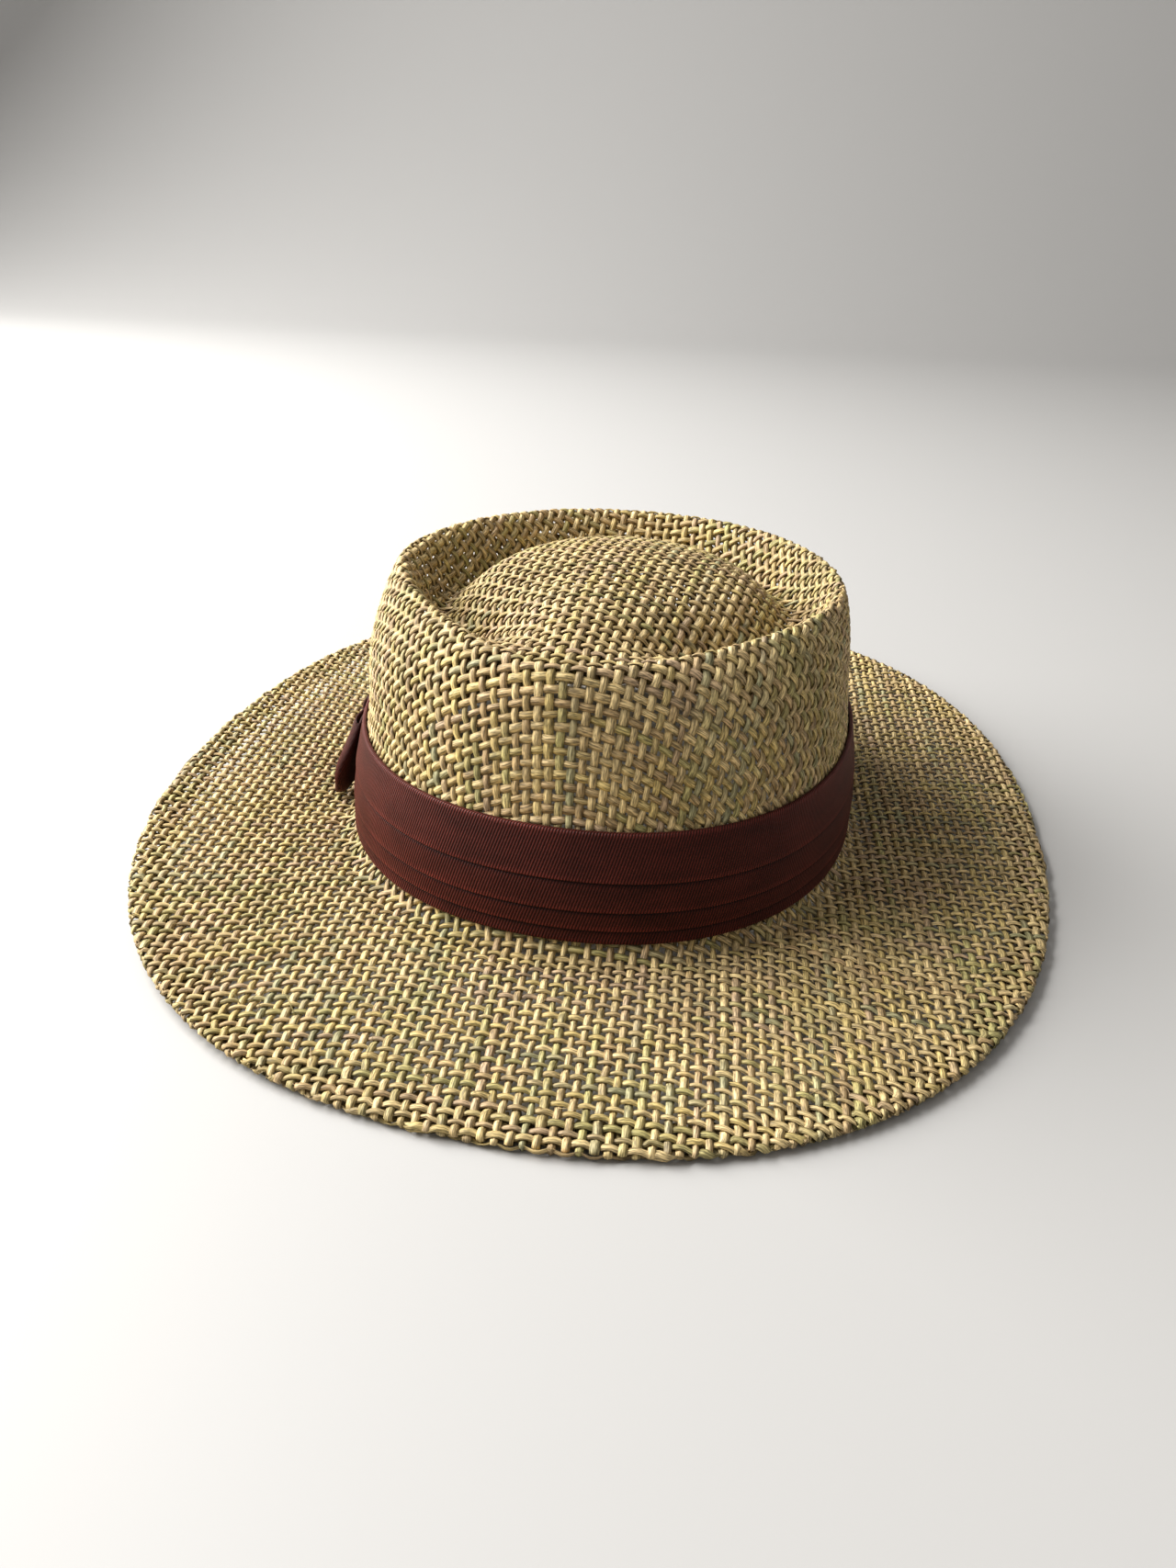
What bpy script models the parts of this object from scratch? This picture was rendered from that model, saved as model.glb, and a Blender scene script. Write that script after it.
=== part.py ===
"""Wide-brimmed straw hat with a teardrop crown, a pleated ribbon band and a flat side bow.

The front of the hat faces -Y, the bow is on the -X side, and the hat stands on z = 0 as it lies on a table.
Lengths are millimetres until MM turns them into metres. A side table has one value for the front, back, left
(-X) and right (+X) of the hat, and everything in between blends smoothly round the azimuth.
"""
import math

import bmesh
import bpy
import numpy as np

MM = 0.001

# Straw sheet: one woven cone blocked into crown and brim, its edge folded under once
HEAD_HALF_WIDTH = 84.2
HEAD_HALF_LENGTH = 99.1
CROWN_HEIGHT = 84.0
DOME_RISE = 4.6
VALLEY_DEPTH = 17.0
BRIM_WIDTH = 78.0
EDGE_LIFT = 9.4
WALL = 2.2
HEM_WIDTH = 13.0
HEM_THICKNESS = 3.0
BEND_RADIUS = 4.0
FOOT_WIDTH = 5.0

# Ribbon band and bow
RIBBON_GAP = 0.3
RIBBON_THICKNESS = 1.5
RIBBON_HEIGHT = 34.5
RIBBON_START = 3.2
PLEAT_STEP = 0.5
BOW_REACH = 33.0
BOW_THICKNESS = 1.1
BOW_SWELL = 5.2
BOW_FLARE = 2.0
BOW_CENTRE_RISE = 11.6
BOW_HALF_MIDDLE = 10.35
BOW_HALF_END = 12.7
KNOT_WIDTH = 13.0
KNOT_WALL = 1.2
KNOT_SLACK = 0.5

# Shares of the sizes above, one column for each side of the hat
SIDES = ("front", "back", "left", "right")
RIM_REACH = dict(front=0.884, back=0.807, left=0.849, right=0.852)
RIM_HEIGHT = dict(front=0.972, back=0.974, left=1.0, right=0.998)
VALLEY_SHARE = dict(front=-0.10, back=0.97, left=1.0, right=0.78)
BRIM_REACH = dict(front=1.0, back=1.07, left=0.79, right=0.84)
EDGE_HEIGHT = dict(front=0.10, back=0.70, left=1.0, right=0.30)
CREST_ROUNDING = dict(front=0.55, back=1.0, left=1.0, right=0.62)

# Plan outline exponents: 2 is an ellipse, more is squarer, less is more pointed
HEAD_SQUARENESS = (2.25, 2.25)
RIM_SQUARENESS = (1.36, 2.05)
BRIM_SQUARENESS = (2.41, 2.41)
DOME_SQUARENESS = (1.7, 2.0)
NOSE_ROUNDING = 0.22

VALLEY_REACH = 0.826
DOME_FALL = 2.4
FRONT_FADE = 7

# Crown and brim rows: shares of the reach between two outlines, and of the drop or lift between them
DOME_ROWS = (("dome_upper", 0.45, 2), ("dome_lower", 0.80, 2), ("groove", 1.0, 3))
RIM_INNER = (0.078, 0.42)
SHOULDER = (0.39, 0.10)
WALL_MIDDLE = (0.60, 0.45)
BEND = (0.30, 0.45)
BRIM_ROWS = (("brim_inner", 0.40, 2), ("brim_outer", 0.72, 2), ("edge", 1.0, 0))
BRIM_CURVE = 1.35
EDGE_BULGE = 0.25

# Bow: how far along each loop its layers part, spread and come down on the band
BOW_GATHERED = 0.05
BOW_PARTED = 0.9
BOW_SPREAD = 0.77
BOW_LANDING = 0.75
BOW_END_SQUARENESS = 0.6
BOW_TOP_OPENING = 0.25
BOW_FLARED = 0.8

KNOT_COLUMNS = (-0.5, -0.42, 0.0, 0.42, 0.5)
KNOT_EDGE_ROUNDING = 0.35
KNOT_SQUARENESS = 0.35

AZIMUTHS = 60
BOW_POINTS = 36
KNOT_POINTS = 20


def side_values(table, scale=1.0):
    return np.array([table[side] * scale for side in SIDES])


def hat_centre():
    """Where the crown's centre stands when the origin is under the middle of the brim's outline."""
    front, back, left, right = side_values(BRIM_REACH, BRIM_WIDTH)
    return (left - right) / 2 * MM, (front - back) / 2 * MM, 0.0


def mix(start, end, share):
    return tuple(a + (b - a) * share for a, b in zip(start, end))


def soft_power(value, power):
    """|value| ** power, rounded near 0 so that a pointed outline still turns smoothly, and 1 at 1."""
    round_off = NOSE_ROUNDING**power
    return ((value**2 + NOSE_ROUNDING**2) ** (power / 2) - round_off) / (
        (1 + NOSE_ROUNDING**2) ** (power / 2) - round_off
    )


def plan_reach(cos, sin, reach, squareness):
    """Distance from the centre to an outline whose exponent runs from the front's to the back's."""
    front, back, left, right = reach
    across = np.where(cos > 0, right, left)
    along = np.where(sin > 0, back, front)
    power = squareness[1] + (squareness[0] - squareness[1]) * (1 - sin) / 2
    return (soft_power(cos, power) / across**power + soft_power(sin, power) / along**power) ** (-1 / power)


def blend_sides(cos, sin, values):
    front, back, left, right = values
    return np.where(cos > 0, right, left) * cos**2 + np.where(sin > 0, back, front) * sin**2


def valley_depth(cos, sin):
    """The groove round the dome keeps its depth at the sides and runs out close to the front."""
    front, back, left, right = side_values(VALLEY_SHARE, VALLEY_DEPTH)
    at_front = np.maximum(0, -sin) ** FRONT_FADE
    at_back = np.maximum(0, sin) ** 2
    return np.where(cos > 0, right, left) * (1 - at_front - at_back) + front * at_front + back * at_back


def sections(cos, sin):
    """Rows of (name, reach, height, mesh steps to the next row) from the dome's top to the brim's edge."""
    head = np.array([HEAD_HALF_LENGTH, HEAD_HALF_LENGTH, HEAD_HALF_WIDTH, HEAD_HALF_WIDTH])
    crest = head * side_values(RIM_REACH)
    brim = side_values(BRIM_REACH, BRIM_WIDTH)
    crest_height = WALL + blend_sides(cos, sin, side_values(RIM_HEIGHT, CROWN_HEIGHT))
    edge_height = WALL + blend_sides(cos, sin, side_values(EDGE_HEIGHT, EDGE_LIFT))
    dome_height = WALL + CROWN_HEIGHT + DOME_RISE
    depth = valley_depth(cos, sin)
    drop = crest_height - WALL
    soft = blend_sides(cos, sin, side_values(CREST_ROUNDING))
    level = np.ones_like(cos)

    def outline(reach, squareness):
        return plan_reach(cos, sin, reach, squareness)

    def dome_row(name, share, steps):
        """The dome falls from its top to the groove as a power of the distance from the middle."""
        fall = share**DOME_FALL
        reach = outline(crest * VALLEY_REACH * share, mix(DOME_SQUARENESS, RIM_SQUARENESS, share))
        return name, reach, dome_height * (1 - fall) + (crest_height - depth) * fall, steps

    def brim_row(name, share, steps):
        """The brim lifts slowly beside the crown and faster towards its edge."""
        reach = outline(head + brim * share, mix(HEAD_SQUARENESS, BRIM_SQUARENESS, share))
        return name, reach, WALL + (edge_height - WALL) * share**BRIM_CURVE, steps

    crest_reach = outline(crest, RIM_SQUARENESS)
    shoulder_reach = outline(crest + (head - crest) * SHOULDER[0], mix(RIM_SQUARENESS, HEAD_SQUARENESS, 0.5))
    shoulder_reach = crest_reach + (shoulder_reach - crest_reach) * soft
    middle_reach = outline(crest + (head - crest) * WALL_MIDDLE[0], HEAD_SQUARENESS)
    bend_reach = outline(head + BEND[0] * BEND_RADIUS, HEAD_SQUARENESS)
    rows = [("dome_top", 0 * level, dome_height * level, 2)]
    rows += [dome_row(*row) for row in DOME_ROWS]
    rows += [
        ("rim_inner", crest_reach * (1 - RIM_INNER[0] * soft), crest_height - RIM_INNER[1] * depth * soft, 2),
        ("rim_crest", crest_reach, crest_height, 2),
        ("shoulder", shoulder_reach, crest_height - SHOULDER[1] * drop * soft, 3),
        ("wall_middle", middle_reach, crest_height - WALL_MIDDLE[1] * drop, 4),
        ("wall_low", outline(head, HEAD_SQUARENESS), (WALL + 2 * BEND_RADIUS) * level, 3),
        ("bend", bend_reach, (WALL + BEND[1] * BEND_RADIUS) * level, 2),
        ("foot_start", outline(head + BEND_RADIUS, HEAD_SQUARENESS), WALL * level, 1),
        ("foot_end", outline(head + BEND_RADIUS + FOOT_WIDTH, HEAD_SQUARENESS), WALL * level, 2),
    ]
    return rows + [brim_row(*row) for row in BRIM_ROWS]


def smooth_through(knots, values, at, start_slope):
    """Cubic spline through values (rows of columns), with a given slope at the start and free at the end."""
    count = len(knots)
    gap = np.diff(knots)
    rise = np.diff(values, axis=0) / gap[:, None]
    matrix = np.zeros((count, count))
    target = np.zeros_like(values)
    matrix[0, :2] = 2 * gap[0], gap[0]
    target[0] = 6 * (rise[0] - start_slope)
    for i in range(1, count - 1):
        matrix[i, i - 1 : i + 2] = gap[i - 1], 2 * (gap[i - 1] + gap[i]), gap[i]
        target[i] = 6 * (rise[i] - rise[i - 1])
    matrix[-1, -1] = 1
    bend = np.linalg.solve(matrix, target)
    k = np.clip(np.searchsorted(knots, at, side="right") - 1, 0, count - 2)
    step = (at - knots[k])[:, None]
    slope = rise[k] - gap[k][:, None] * (2 * bend[k] + bend[k + 1]) / 6
    turn = (bend[k + 1] - bend[k]) / (6 * gap[k][:, None])
    return values[k] + step * slope + step**2 * bend[k] / 2 + step**3 * turn


class Sheet:
    """Upper face of the straw: reach and height for a place along the profile and an azimuth."""

    def __init__(self, azimuths):
        self.cos = np.cos(azimuths)
        self.sin = np.sin(azimuths)
        rows = sections(self.cos, self.sin)
        self.names = [row[0] for row in rows]
        self.reaches = np.stack([row[1] for row in rows])
        self.heights = np.stack([row[2] for row in rows])
        self.steps = [row[3] for row in rows]
        mean = np.stack([self.reaches.mean(axis=1), self.heights.mean(axis=1)])
        self.knots = np.concatenate([[0], np.cumsum(np.hypot(*np.diff(mean, axis=1)))])

    def places(self):
        """Places along the profile for the mesh rows."""
        found = [self.knots[0]]
        for i, steps in enumerate(self.steps[:-1]):
            found += list(np.linspace(self.knots[i], self.knots[i + 1], steps + 1)[1:])
        return np.array(found)

    def at(self, places):
        first_slope = (self.reaches[1] - self.reaches[0]) / (self.knots[1] - self.knots[0])
        reach = smooth_through(self.knots, self.reaches, places, first_slope)
        height = smooth_through(self.knots, self.heights, places, 0 * first_slope)
        return reach, height

    def place_of(self, name):
        return self.knots[self.names.index(name)]

    def wall_reach(self, height):
        """Reach of the crown wall's outer face at a height, for every azimuth."""
        places = np.linspace(self.place_of("shoulder"), self.place_of("foot_start"), 160)
        reach, heights = self.at(places)
        return np.array([np.interp(height, h[::-1], r[::-1]) for r, h in zip(reach.T, heights.T)])


def below(reach, height, thickness):
    """Offsets profile points to the sheet's hidden side, square to the profile."""
    tangent = np.stack([np.gradient(reach, axis=0), np.gradient(height, axis=0)])
    tangent /= np.maximum(np.hypot(*tangent), 1e-9)
    return reach + tangent[1] * thickness, height - tangent[0] * thickness


def new_object(name, mesh_builder, collection, material):
    mesh = bpy.data.meshes.new(name)
    work = bmesh.new()
    mesh_builder(work)
    bmesh.ops.recalc_face_normals(work, faces=work.faces)
    work.to_mesh(mesh)
    work.free()
    mesh.shade_smooth()
    mesh.set_sharp_from_angle(angle=math.radians(40))
    mesh.materials.append(material)
    result = bpy.data.objects.new(name, mesh)
    result.location = hat_centre()
    collection.objects.link(result)
    return result


def ring_verts(work, xs, ys, zs):
    return [work.verts.new((x * MM, y * MM, z * MM)) for x, y, z in zip(xs, ys, zs)]


def join_rings(work, first, second):
    """Quads between two closed rings with as many points."""
    count = len(first)
    for i in range(count):
        j = (i + 1) % count
        work.faces.new((first[i], first[j], second[j], second[i]))


def fan(work, centre, ring):
    for i, vert in enumerate(ring):
        work.faces.new((centre, vert, ring[(i + 1) % len(ring)]))


def build_straw(work):
    """Upper face from the dome's top to the edge, a rounded edge, and the hidden face back to the top."""
    azimuths = np.linspace(0, 2 * math.pi, AZIMUTHS, endpoint=False)
    sheet = Sheet(azimuths)
    places = sheet.places()
    hem_line = sheet.place_of("edge") - HEM_WIDTH
    hem_step = HEM_THICKNESS - WALL
    places = np.sort(np.append(places, [hem_line - hem_step, hem_line]))
    reach, height = sheet.at(places)
    in_hem = places >= hem_line
    thickness = np.where(in_hem, HEM_THICKNESS, WALL)[:, None]
    under_reach, under_height = below(reach, height, thickness)
    under_height = np.maximum(under_height, 0)
    foot = (places > sheet.place_of("foot_start") - 1e-6) & (places < sheet.place_of("foot_end") + 1e-6)
    under_height[foot] = 0

    def ring(reaches, heights):
        return ring_verts(work, reaches * sheet.cos, reaches * sheet.sin, heights)

    rings = [ring(r, h) for r, h in zip(reach[1:], height[1:])]
    rings.append(ring(reach[-1] + EDGE_BULGE * HEM_THICKNESS, (height[-1] + under_height[-1]) / 2))
    rings += [ring(r, h) for r, h in zip(under_reach[:0:-1], under_height[:0:-1])]
    for first, second in zip(rings, rings[1:]):
        join_rings(work, first, second)
    top = work.verts.new((0, 0, height[0, 0] * MM))
    ceiling = work.verts.new((0, 0, (height[0, 0] - WALL) * MM))
    fan(work, top, rings[0])
    fan(work, ceiling, rings[-1])


# Rows of the band from its lower edge up: share of its height, and how many pleat steps it stands proud
RIBBON_ROWS = (
    ("lower_edge", 0.00, 0.2),
    ("fourth_pleat", 0.04, 0.5),
    ("third_fold_under", 0.11, 0.4),
    ("third_fold", 0.12, 1.2),
    ("third_pleat", 0.29, 0.8),
    ("second_fold", 0.30, 1.6),
    ("second_pleat", 0.56, 1.2),
    ("first_fold", 0.57, 2.0),
    ("first_pleat", 0.97, 1.7),
    ("upper_edge", 1.00, 1.3),
)
BACK_ROWS = ("lower_edge", "third_fold", "second_fold", "first_fold", "upper_edge")


def build_ribbon(work):
    """The band follows the crown wall at a small gap, and each pleat laps over the one below it."""
    azimuths = np.linspace(0, 2 * math.pi, AZIMUTHS, endpoint=False)
    sheet = Sheet(azimuths)
    floor = WALL + RIBBON_START
    most_steps = max(row[2] for row in RIBBON_ROWS)
    core = RIBBON_THICKNESS - most_steps * PLEAT_STEP
    outer = []
    inner = []
    for name, share, steps in RIBBON_ROWS:
        height = floor + share * RIBBON_HEIGHT
        wall = sheet.wall_reach(height) + RIBBON_GAP
        outer.append((wall + core + steps * PLEAT_STEP, height))
        if name in BACK_ROWS:
            inner.append((wall, height))
    loop = outer + inner[::-1]
    rings = [ring_verts(work, r * sheet.cos, r * sheet.sin, np.full(AZIMUTHS, h)) for r, h in loop]
    for first, second in zip(rings, rings[1:] + rings[:1]):
        join_rings(work, first, second)


def on_band(along, out, height):
    """World place from a distance along the band (towards the front), out from its face, and a height."""
    middle_reach = HEAD_HALF_WIDTH + RIBBON_GAP + RIBBON_THICKNESS
    azimuth = math.pi + along / middle_reach
    sheet = Sheet(np.array([azimuth, azimuth + 0.01]))
    reach = sheet.wall_reach(height)[0] + RIBBON_GAP + RIBBON_THICKNESS + out
    return reach * math.cos(azimuth) * MM, reach * math.sin(azimuth) * MM, height * MM


def bow_centre():
    """Height of the bow's centre line."""
    return WALL + RIBBON_START + BOW_CENTRE_RISE


def ease(share, end):
    """Rises smoothly from 0 to 1 as share goes from 0 to end."""
    return math.sin(min(1.0, share / end) * math.pi / 2) ** 2


def bow_path(level):
    """Plan of the bow's closed loop at a level from -1, its lower edge, to 1: rows of (along, out, share)."""
    seat = RIBBON_GAP + KNOT_WALL + RIBBON_GAP + BOW_THICKNESS / 2
    gathered = 0.5 * KNOT_WIDTH / BOW_REACH + BOW_GATHERED
    flared = ease((1 - level) / 2, BOW_FLARED)
    opening = BOW_TOP_OPENING + (1 - BOW_TOP_OPENING) * flared
    rows = []
    for i in range(BOW_POINTS):
        turn = 2 * math.pi * (i + 0.5) / BOW_POINTS
        swing = math.cos(turn)
        side = math.sin(turn)
        share = max(0.0, abs(swing) - gathered) / (1 - gathered)
        room = BOW_THICKNESS + RIBBON_GAP + BOW_SWELL * opening * ease(share, BOW_PARTED)
        lift = seat * (1 - BOW_LANDING * share**2) + room / 2 + BOW_FLARE * flared * share**2
        out = lift + room / 2 * math.copysign(abs(side) ** BOW_END_SQUARENESS, side)
        rows.append((BOW_REACH * swing, out, share))
    return rows


def build_bow(work):
    """A flat ribbon loop gathered in the middle, whose lower corners flare away from the band."""
    levels = (-1.0, -0.5, 0.0, 0.5, 1.0)
    shell = {}
    for level in levels:
        rows = bow_path(level)
        for face in (0, 1):
            ring = []
            for i, (along, out, share) in enumerate(rows):
                ahead = rows[(i + 1) % len(rows)]
                behind = rows[i - 1]
                run = (ahead[0] - behind[0], ahead[1] - behind[1])
                shift = BOW_THICKNESS * (0.5 - face) / math.hypot(*run)
                half = BOW_HALF_MIDDLE + (BOW_HALF_END - BOW_HALF_MIDDLE) * min(1.0, share / BOW_SPREAD)
                place = on_band(along - run[1] * shift, out + run[0] * shift, bow_centre() + level * half)
                ring.append(work.verts.new(place))
            shell[face, level] = ring
    join_shell(work, shell, levels)


def join_shell(work, shell, columns):
    """Closes two faces of rings, 0 outside and 1 inside, into one wall."""
    for face in (0, 1):
        for low, high in zip(columns, columns[1:]):
            join_rings(work, shell[face, low], shell[face, high])
    join_rings(work, shell[0, columns[0]], shell[1, columns[0]])
    join_rings(work, shell[0, columns[-1]], shell[1, columns[-1]])


def squared(value):
    return math.copysign(abs(value) ** KNOT_SQUARENESS, value)


def build_knot(work):
    """A strap that wraps the gathered middle of the bow."""
    hole_depth = 2 * BOW_THICKNESS + 3 * RIBBON_GAP + KNOT_SLACK
    hole_half_height = BOW_HALF_MIDDLE + 3 * RIBBON_GAP
    sizes = (
        (hole_depth / 2 + KNOT_WALL, hole_half_height + KNOT_WALL),
        (hole_depth / 2, hole_half_height),
    )
    middle = RIBBON_GAP + KNOT_WALL + hole_depth / 2
    shell = {}
    for face, (deep, tall) in enumerate(sizes):
        for column in KNOT_COLUMNS:
            outer_edge = face == 0 and abs(column) == 0.5
            soft = -KNOT_EDGE_ROUNDING * KNOT_WALL if outer_edge else 0.0
            ring = []
            for i in range(KNOT_POINTS):
                turn = 2 * math.pi * i / KNOT_POINTS
                out = middle + (deep + soft) * squared(math.cos(turn))
                up = (tall + soft) * squared(math.sin(turn))
                ring.append(work.verts.new(on_band(column * KNOT_WIDTH, out, bow_centre() + up)))
            shell[face, column] = ring
    join_shell(work, shell, KNOT_COLUMNS)


def plain_material(name, colour, roughness):
    material = bpy.data.materials.new(name)
    material.use_nodes = True
    shader = material.node_tree.nodes["Principled BSDF"]
    shader.inputs["Base Color"].default_value = (*colour, 1)
    shader.inputs["Roughness"].default_value = roughness
    shader.inputs["Metallic"].default_value = 0
    return material


def main():
    for leftover in list(bpy.data.objects):
        bpy.data.objects.remove(leftover, do_unlink=True)
    hat = bpy.data.collections.new("straw_hat")
    bpy.context.scene.collection.children.link(hat)
    straw = plain_material("straw", (0.52, 0.43, 0.24), 0.65)
    ribbon = plain_material("ribbon", (0.13, 0.035, 0.032), 0.7)
    new_object("straw_body", build_straw, hat, straw)
    new_object("ribbon_band", build_ribbon, hat, ribbon)
    new_object("bow_loops", build_bow, hat, ribbon)
    new_object("bow_knot", build_knot, hat, ribbon)


main()
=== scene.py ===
"""Looks of the wide-brimmed straw hat: every strand of the woven sheet, the pleated ribbon band and the bow.

Lengths are millimetres until MM turns them into metres. Places are counted from the crown's centre, and
CENTRE carries them into the frame.
"""
import math

import bpy
import numpy as np
from mathutils import Matrix, Vector


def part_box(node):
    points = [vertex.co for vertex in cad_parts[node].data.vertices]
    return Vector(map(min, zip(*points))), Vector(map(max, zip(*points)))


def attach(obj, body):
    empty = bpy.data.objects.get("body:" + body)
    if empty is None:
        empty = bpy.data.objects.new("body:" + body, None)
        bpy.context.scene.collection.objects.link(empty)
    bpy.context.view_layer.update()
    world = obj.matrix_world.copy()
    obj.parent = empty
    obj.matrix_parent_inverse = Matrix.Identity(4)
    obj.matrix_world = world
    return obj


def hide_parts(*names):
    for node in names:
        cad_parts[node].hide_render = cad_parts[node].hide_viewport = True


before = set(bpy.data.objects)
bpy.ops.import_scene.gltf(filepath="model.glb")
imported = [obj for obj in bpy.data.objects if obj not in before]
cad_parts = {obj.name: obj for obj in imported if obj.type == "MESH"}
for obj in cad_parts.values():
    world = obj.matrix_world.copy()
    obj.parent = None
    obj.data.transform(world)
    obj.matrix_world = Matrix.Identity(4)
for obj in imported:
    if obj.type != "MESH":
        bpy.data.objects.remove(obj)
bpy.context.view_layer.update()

MM = 0.001

# The same driving sizes as the solids
HEAD_HALF_WIDTH = 84.2
HEAD_HALF_LENGTH = 99.1
CROWN_HEIGHT = 84.0
DOME_RISE = 4.6
VALLEY_DEPTH = 17.0
BRIM_WIDTH = 78.0
EDGE_LIFT = 9.4
WALL = 2.2
HEM_WIDTH = 13.0
BEND_RADIUS = 4.0
FOOT_WIDTH = 5.0
RIBBON_GAP = 0.3
RIBBON_THICKNESS = 1.5
RIBBON_HEIGHT = 34.5
RIBBON_START = 3.2
PLEAT_STEP = 0.5
BOW_REACH = 33.0
BOW_THICKNESS = 1.1
BOW_SWELL = 5.2
BOW_FLARE = 2.0
BOW_CENTRE_RISE = 11.6
BOW_HALF_MIDDLE = 10.35
BOW_HALF_END = 12.7
KNOT_WIDTH = 13.0
KNOT_WALL = 1.2
KNOT_SLACK = 0.5

SIDES = ("front", "back", "left", "right")
RIM_REACH = dict(front=0.884, back=0.807, left=0.849, right=0.852)
RIM_HEIGHT = dict(front=0.972, back=0.974, left=1.0, right=0.998)
VALLEY_SHARE = dict(front=-0.10, back=0.97, left=1.0, right=0.78)
BRIM_REACH = dict(front=1.0, back=1.07, left=0.79, right=0.84)
EDGE_HEIGHT = dict(front=0.10, back=0.70, left=1.0, right=0.30)
CREST_ROUNDING = dict(front=0.55, back=1.0, left=1.0, right=0.62)
HEAD_SQUARENESS = (2.25, 2.25)
RIM_SQUARENESS = (1.36, 2.05)
BRIM_SQUARENESS = (2.41, 2.41)
DOME_SQUARENESS = (1.7, 2.0)
NOSE_ROUNDING = 0.22
VALLEY_REACH = 0.826
DOME_FALL = 2.4
FRONT_FADE = 7
DOME_ROWS = (("dome_upper", 0.45), ("dome_lower", 0.80), ("groove", 1.0))
RIM_INNER = (0.078, 0.42)
SHOULDER = (0.39, 0.10)
WALL_MIDDLE = (0.60, 0.45)
BEND = (0.30, 0.45)
BRIM_ROWS = (("brim_inner", 0.40), ("brim_outer", 0.72), ("edge", 1.0))
BRIM_CURVE = 1.35

BOW_GATHERED = 0.05
BOW_PARTED = 0.9
BOW_SPREAD = 0.77
BOW_LANDING = 0.75
BOW_END_SQUARENESS = 0.6
BOW_TOP_OPENING = 0.25
BOW_FLARED = 0.8
KNOT_EDGE_ROUNDING = 0.35
KNOT_SQUARENESS = 0.35

# The weave: one strand over, one under
PITCH = 3.3
STRAND_WIDTH = dict(lengthwise=2.0, crosswise=2.05)
STRAND_THICKNESS = 0.74
CRIMP = 0.34
LAYER = 2 * CRIMP + STRAND_THICKNESS

# How the brim's strands run: straight from front to back, bowed towards the crown from side to side
BRIM_TURN = math.radians(6.0)
SIDE_PITCH = dict(left=2.9, right=3.1)
SAG_DEPTH = 26.0
SAG_SPREAD = 92.0
SAG_MIDDLE = -10.0
SAG_SLANT = 0.4
SAG_TURNOVER = 55.0

# Resistance of the weave's cells to being pushed askew, and where they jam
SHEAR_STIFFNESS = 0.12
JAM_STIFFNESS = 0.6
JAM_SHARE = 0.62
JAM_RANGE = 0.2

# Settling the crown's net: rounds at each coarseness, and how each round's step builds on the last
NET_MARGIN = 30
NET_COARSEST = 8
NET_ROUNDS = {8: 400, 4: 400, 2: 300, 1: 200}
NET_MOMENTUM = 0.9
NET_GAIN = 0.2
NET_DAMPING = 0.02
NET_STEP_LIMIT = 0.5

# Laying the brim's net
BRIM_NET_HALF_WIDTH = 215.0
SAG_ROUNDS = 60
SAG_GAIN = 0.5

# The crown's own weave ends inside a collar that the brim's weave makes behind the ribbon
CROWN_TURN = math.radians(2.0)
COLLAR_TOP = 13.0
COLLAR_RUN_IN = 5.0
CROWN_END = 1.9
CROWN_FULLNESS = 1.16

# The layer folded under at the edge is tinted darker, so that the holes above it look shaded as in the photo
HEM_SHADE = 0.6

band_low, band_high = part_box("ribbon_band")
CENTRE = np.array([(band_low.x + band_high.x) / 2, (band_low.y + band_high.y) / 2, 0.0])


# Straw surface

def side_values(table, scale=1.0):
    return np.array([table[side] * scale for side in SIDES])


def mix(start, end, share):
    return tuple(a + (b - a) * share for a, b in zip(start, end))


def soft_power(value, power):
    """|value| ** power, rounded near 0 so that a pointed outline still turns smoothly, and 1 at 1."""
    round_off = NOSE_ROUNDING**power
    return ((value**2 + NOSE_ROUNDING**2) ** (power / 2) - round_off) / (
        (1 + NOSE_ROUNDING**2) ** (power / 2) - round_off
    )


def plan_reach(cos, sin, reach, squareness):
    """Distance from the centre to an outline whose exponent runs from the front's to the back's."""
    front, back, left, right = reach
    across = np.where(cos > 0, right, left)
    along = np.where(sin > 0, back, front)
    power = squareness[1] + (squareness[0] - squareness[1]) * (1 - sin) / 2
    return (soft_power(cos, power) / across**power + soft_power(sin, power) / along**power) ** (-1 / power)


def blend_sides(cos, sin, values):
    front, back, left, right = values
    return np.where(cos > 0, right, left) * cos**2 + np.where(sin > 0, back, front) * sin**2


def valley_depth(cos, sin):
    """The groove round the dome keeps its depth at the sides and runs out close to the front."""
    front, back, left, right = side_values(VALLEY_SHARE, VALLEY_DEPTH)
    at_front = np.maximum(0, -sin) ** FRONT_FADE
    at_back = np.maximum(0, sin) ** 2
    return np.where(cos > 0, right, left) * (1 - at_front - at_back) + front * at_front + back * at_back


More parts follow.
